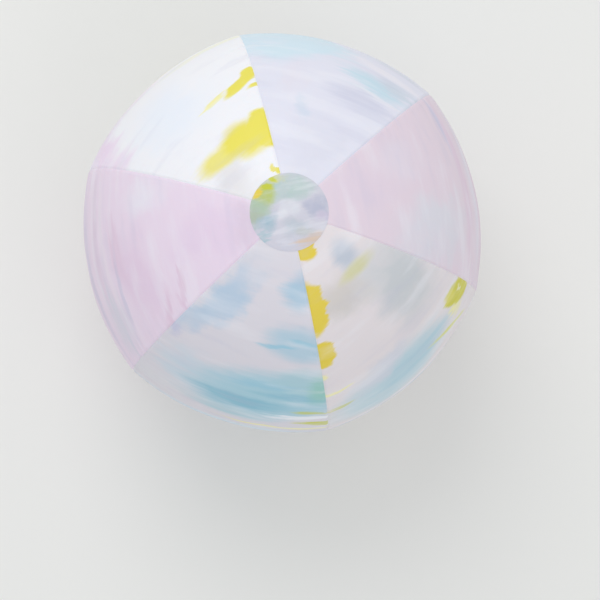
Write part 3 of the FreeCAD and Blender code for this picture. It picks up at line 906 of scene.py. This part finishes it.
# The strap's two legs run from the root to the fold, a little below and above the fold's height.
STRAP_ROOT = 5.9
STRAP_THICK = 0.8
STRAP_HALF = 1.6
STRAP_THINNED = 0.35
FOLD_AT = 14.0
FOLD_HEIGHT = MOUTH - 0.5
FOLD_GAP = 0.6

# The web's (radius, height) at the ring and at the stem's foot.
WEB_TOP = (8.95, -0.9)
WEB_BOTTOM = (5.75, -13.1)
WEB_THICK = 0.45
WEB_STEPS = 18


def build_stem():
    """The mouthpiece, with its rolled rim, plug bore, nozzle bore and foot."""
    corners = [
        (3.45, MOUTH, 0.25),
        (3.45, BORE_FLOOR, 0.15),
        (3.0, BORE_FLOOR, 0.1),
        (3.0, FOOT + 1.2, 0.15),
        (2.2, FOOT + 1.2, 0.1),
        (2.2, FOOT, 0.1),
        (5.7, FOOT, 0.3),
        (5.7, FOOT + 1.6, 0.3),
        (5.2, FOOT + 1.6, 0.2),
        (5.2, BEAD_UNDER, 0.4),
        (HEAD_RADIUS, BEAD_UNDER, 0.5),
        (HEAD_RADIUS, MOUTH, 0.8),
    ]
    return lathe("valve_mouthpiece", rounded(corners))


def round_ended(start, end, half, round_radius, steps=8):
    """A flat outline from one X to another, half wide each way, with its far corners rounded."""
    corners = [
        (start, -half, 0),
        (end, -half, round_radius),
        (end, half, round_radius),
        (start, half, 0),
    ]
    return rounded(corners, steps)


def slab(name, outline, low, high, edge):
    """An upright extrusion of an outline between two heights, with its top and bottom edges eased."""
    centre = np.mean(np.array(outline), axis=0)
    points = []
    for height, inset in ((low, edge), (low + edge, 0.0), (high - edge, 0.0), (high, edge)):
        for spot in outline:
            away = np.array(spot) - centre
            spot = centre + away * (1 - inset / np.linalg.norm(away))
            points.append(in_valve_frame(spot[0], spot[1], height))
    made = new_object(name, points, tube_faces(4, len(outline)))
    face_outwards(made)
    return made


def build_plug():
    """The stopper: tapered hollow shank, dished round head, and a pull tab with grip ridges."""
    tip = MOUTH - 4.6
    top = HEAD_UNDER + 1.8
    corners = [
        (1.6, tip, 0.2),
        (2.8, tip, 0.4),
        (3.4, HEAD_UNDER, 0.15),
        (HEAD_RADIUS, HEAD_UNDER, 0.4),
        (HEAD_RADIUS, top, 0.6),
        (4.6, top, 0.3),
        (3.9, top - 0.35, 0.3),
        (0, top - 0.35, 0),
        (0, tip + 3.5, 0),
        (1.6, tip + 3.5, 0.3),
    ]
    plug = lathe("valve_stopper", rounded(corners))
    combine(plug, slab("tab", round_ended(TAB_ROOT, TAB_END, 2.5, 2.0), TAB_LOW, TAB_TOP, 0.2), "UNION")
    for ridge in range(RIDGES):
        place = TAB_END + RIDGE_STEP * (ridge + 1)
        bar = round_ended(place, place + 0.55, 1.5, 0.2, 3)
        combine(plug, slab("ridge", bar, TAB_TOP - 0.3, TAB_TOP + 0.3, 0.12), "UNION")
    face_outwards(plug)
    return plug


def build_strap():
    """The living-hinge strap: a flat band from the rim out to the fold and back to the plug's head."""
    half_thick = STRAP_THICK / 2
    low_leg = FOLD_HEIGHT - FOLD_GAP - half_thick
    high_leg = FOLD_HEIGHT + FOLD_GAP + half_thick
    turn_radius = (high_leg - low_leg) / 2
    route = []
    for share in np.linspace(0, 1, 14, endpoint=False):
        route.append((STRAP_ROOT + (FOLD_AT - STRAP_ROOT) * share, low_leg, 0.0, 1.0))
    for angle in np.linspace(0, math.pi, 25):
        x = FOLD_AT + turn_radius * math.sin(angle)
        z = FOLD_HEIGHT - turn_radius * math.cos(angle)
        # The band is thinned at the fold, where it bends.
        route.append((x, z, angle, 1.0 - STRAP_THINNED * math.sin(angle) ** 2))
    for share in np.linspace(0, 1, 15)[1:]:
        route.append((FOLD_AT - (FOLD_AT - STRAP_ROOT) * share, high_leg, math.pi, 1.0))
    corners = [
        (-STRAP_HALF, -half_thick, 0.3),
        (STRAP_HALF, -half_thick, 0.3),
        (STRAP_HALF, half_thick, 0.3),
        (-STRAP_HALF, half_thick, 0.3),
    ]
    section = rounded(corners, 3)
    points = []
    for x, z, angle, thin in route:
        for side, up in section:
            out, rise = up * thin * math.sin(angle), -up * thin * math.cos(angle)
            points.append(in_valve_frame(x + out, side, z + rise))
    strap = new_object("plug_tether", points, tube_faces(len(route), len(section)))
    face_outwards(strap)
    return strap


def build_web():
    """The folding web between the ring and the stem's foot, with a soft bend at both ends."""
    outer, inner = [], []
    for step in range(WEB_STEPS + 1):
        share = step / WEB_STEPS
        eased = share * share * (3 - 2 * share)
        radius = WEB_TOP[0] + (WEB_BOTTOM[0] - WEB_TOP[0]) * (0.5 * share + 0.5 * eased)
        height = WEB_TOP[1] + (WEB_BOTTOM[1] - WEB_TOP[1]) * share
        outer.append((radius, height))
        inner.append((radius - WEB_THICK * (1 - share), height))
    return lathe("valve_web", outer + inner[-2::-1])


# ---------------------------------------------------------------- the camera and the light

# The photograph's view: from almost straight above the printed disc. The ball fills this share of the
# picture's width, and sits up and to the left of its middle.
VIEW_AZIMUTH, VIEW_ELEVATION, VIEW_ROLL = math.radians(-32), math.radians(84), math.radians(19.3)
VIEW_DISTANCE = 12.6 * BALL_RADIUS
BALL_SHARE = 395 / 600
SHIFT_X, SHIFT_Y = 0.030, -0.112
SENSOR = 36.0

FLOOR_HALF = 12.0
FLOOR_GAP = 0.3 * MM
PAPER_DIM = (0.93, 0.928, 0.915)
PAPER_PALE = (0.938, 0.935, 0.922)
SKY_LIGHT = (0.95, 0.96, 0.97)
SKY_STRENGTH = 0.80


def direction(azimuth, elevation):
    """The way to something seen at this azimuth and elevation, azimuth 0 being towards -Y."""
    flat = math.cos(elevation)
    return Vector((math.sin(azimuth) * flat, -math.cos(azimuth) * flat, math.sin(elevation)))


def make_camera():
    camera = bpy.data.objects.new("camera", bpy.data.cameras.new("camera"))
    bpy.context.scene.collection.objects.link(camera)
    back = direction(VIEW_AZIMUTH, VIEW_ELEVATION)
    aim = (-back).to_track_quat("-Z", "Y").to_matrix()
    camera.location = back * VIEW_DISTANCE
    camera.rotation_mode = "QUATERNION"
    camera.rotation_quaternion = (aim @ Matrix.Rotation(VIEW_ROLL, 3, "Z")).to_quaternion()
    ball_slope = math.tan(math.asin(BALL_RADIUS / VIEW_DISTANCE))
    camera.data.sensor_width = SENSOR
    camera.data.lens = SENSOR * BALL_SHARE / (2 * ball_slope)
    camera.data.shift_x = SHIFT_X
    camera.data.shift_y = SHIFT_Y
    bpy.context.scene.camera = camera


def make_light(name, azimuth, elevation, distance, size, power, colour):
    """A round lamp that faces the ball from this azimuth and elevation, in degrees."""
    lamp = bpy.data.lights.new(name, "AREA")
    lamp.shape = "DISK"
    lamp.size = size
    lamp.energy = power
    lamp.color = colour
    held = bpy.data.objects.new(name, lamp)
    bpy.context.scene.collection.objects.link(held)
    way = direction(math.radians(azimuth), math.radians(elevation))
    held.location = way * distance
    held.rotation_mode = "QUATERNION"
    held.rotation_quaternion = (-way).to_track_quat("-Z", "Y")


def make_studio():
    half, height = FLOOR_HALF, cad_low.z - FLOOR_GAP
    corners = [(-half, -half, height), (half, -half, height), (half, half, height), (-half, half, height)]
    floor = new_object("floor", corners, [(0, 1, 2, 3)])
    nodes = Nodes("floor_paper")
    place = nodes.add("ShaderNodeTexCoord").outputs["Object"]
    grain = nodes.channel(nodes.noise(place, 3.0, 2.0), "Red")
    paper = nodes.mix(nodes.fade(grain, 0.3, 0.7), linear(*PAPER_DIM), linear(*PAPER_PALE))
    nodes.surface(Base_Color=paper, Roughness=0.9, Specular_IOR_Level=0.1)
    coat(floor, nodes.material)

    world = bpy.data.worlds.new("studio")
    world.use_nodes = True
    background = world.node_tree.nodes["Background"]
    background.inputs["Color"].default_value = linear(*SKY_LIGHT)
    background.inputs["Strength"].default_value = SKY_STRENGTH
    bpy.context.scene.world = world
    # The key comes from the picture's upper left, the fill from the other side.
    make_light("key", 187, 52, 2.6, 1.8, 18.0, (1.0, 0.985, 0.96))
    make_light("fill", 20, 48, 3.0, 2.4, 9.0, (0.98, 0.99, 1.0))
    bpy.context.scene.view_settings.view_transform = "Standard"


# ---------------------------------------------------------------- put together

make_camera()
make_studio()

all_creases = [seam_creases(seam) for seam in range(GORES)]
for number in range(GORES):
    gore = build_gore(number, all_creases)
    gore.data.transform(Matrix.Rotation(number * WHOLE_GORE, 4, "Z"))
    if number == VALVE_GORE:
        raise_valve_ring(gore)
    keep_edges_crisp(gore)
    mark_gore(gore, number)
    coat(gore, dyed_and_shaded_film(f"film_print_{number + 1}", *GORE_PRINTS_AND_SHADE[number]))
    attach(gore, "ball")
    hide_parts(f"gore_panel_{number + 1}")

# The front disc's colours hold painted shade over the pole as well as print.
for disc_name, node, slot, upside, print_and_shade_colours in (
    ("front_disc_film", "front_end_disc", "disc_front", False, FRONT_PRINT_AND_SHADE),
    ("rear_disc_film", "rear_end_disc", "disc_rear", True, REAR_PRINT),
):
    disc = build_disc(disc_name, upside)
    keep_edges_crisp(disc)
    mark_disc(disc)
    coat(disc, dyed_and_shaded_film(f"{disc_name}_print", *print_and_shade_colours, fine=DISC_FINE))
    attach(disc, "ball")
    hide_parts(node)

white_vinyl = vinyl("white_vinyl", (0.93, 0.93, 0.92), 0.30)
thin_vinyl = vinyl("thin_vinyl", (0.88, 0.90, 0.90), 0.26)

for build, node, body in ((build_stem, "valve_stem", "stem"), (build_plug, "valve_plug", "plug")):
    piece = build()
    keep_edges_crisp(piece)
    coat(piece, white_vinyl)
    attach(piece, body)
    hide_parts(node)

strap = build_strap()
coat(strap, white_vinyl)
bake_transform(strap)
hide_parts("plug_strap")

web = build_web()
coat(web, thin_vinyl)
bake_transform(web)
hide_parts("valve_diaphragm")

for node, finish in (("valve_flange", white_vinyl), ("check_flap", thin_vinyl)):
    coat(frame["nodes"][node], finish)
